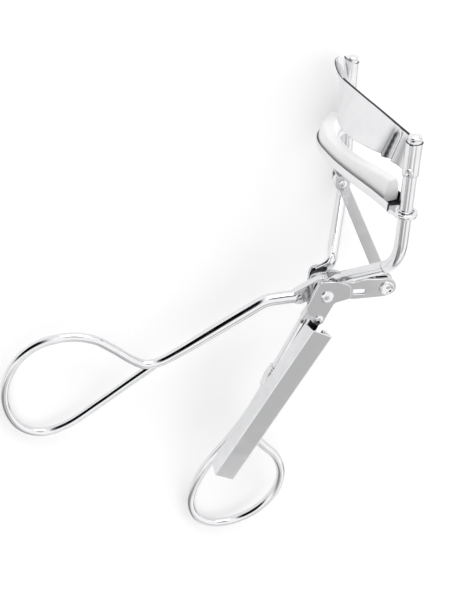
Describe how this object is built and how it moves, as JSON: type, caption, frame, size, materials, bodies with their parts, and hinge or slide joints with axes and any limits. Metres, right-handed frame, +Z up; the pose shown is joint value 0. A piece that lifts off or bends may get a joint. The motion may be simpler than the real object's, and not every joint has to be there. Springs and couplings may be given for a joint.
{
  "type": "eyelash curler",
  "caption": "Plated steel eyelash curler with bent wire finger loops, guided clamping jaws, a soft pad and a fold-out lash comb.",
  "frame": {"origin": "centre of the bounding box on the surface the curler lies on, far side down", "axes": "+Z up, +Y along the guide rods toward the fixed jaw (level with the table), +X away from the upper finger loop"},
  "size_m": [0.0734, 0.0992, 0.0384],
  "materials": {
    "plated_steel": "bright nickel-chrome plate, polished",
    "silicone": "soft white silicone, satin",
    "comb_strip": "stamped stainless comb strip, plain"
  },
  "bodies": {
    "frame": {"near_guide_rod": "plated_steel", "far_guide_rod": "plated_steel", "near_rod_cap": "plated_steel", "far_rod_cap": "plated_steel", "upper_jaw_plate": "plated_steel", "near_plate_rivet": "plated_steel", "far_plate_rivet": "plated_steel", "hinge_bracket": "plated_steel", "main_rivet": "plated_steel", "near_washer": "plated_steel", "far_washer": "plated_steel", "comb_spacer": "plated_steel", "lower_handle": "plated_steel", "comb_catch": "plated_steel", "comb_pin": "plated_steel"},
    "lever": {"upper_handle": "plated_steel", "lever_arm": "plated_steel", "lower_link_pin": "plated_steel"},
    "link": {"connecting_link": "plated_steel"},
    "slider": {"lower_jaw": "plated_steel", "near_eyelet": "plated_steel", "far_eyelet": "plated_steel", "jaw_lug": "plated_steel", "near_lug_rivet": "plated_steel", "far_lug_rivet": "plated_steel", "upper_link_pin": "plated_steel", "lash_pad": "silicone"},
    "comb": {"comb_case": "plated_steel", "comb_teeth": "comb_strip"}
  },
  "joints": [
    {"name": "handle_pivot", "type": "hinge", "parent": "frame", "child": "lever", "pos_m": [0.02316, 0.01016, 0.01395], "axis": [-0.141, -0.1543, 0.9779], "range_deg": [-12, 11]},
    {"name": "jaw_slide", "type": "slide", "parent": "frame", "child": "slider", "axis": [-0.011, 0.988, 0.1543], "range_m": [-0.00237, 0.00218]},
    {"name": "link_swing", "type": "hinge", "parent": "lever", "child": "link", "pos_m": [0.03495, 0.00904, 0.01547], "axis": [-0.141, -0.1543, 0.9779], "range_deg": [-11, 12]},
    {"name": "comb_swing", "type": "hinge", "parent": "frame", "child": "comb", "pos_m": [0.02146, 0.00486, 0.01696], "axis": [-0.141, -0.1543, 0.9779], "range_deg": [0, 100]}
  ],
  "couplings": [
    {"joint": "jaw_slide", "follows": "handle_pivot", "m_per_rad": 0.0113},
    {"joint": "link_swing", "follows": "handle_pivot", "ratio": -0.95}
  ]
}
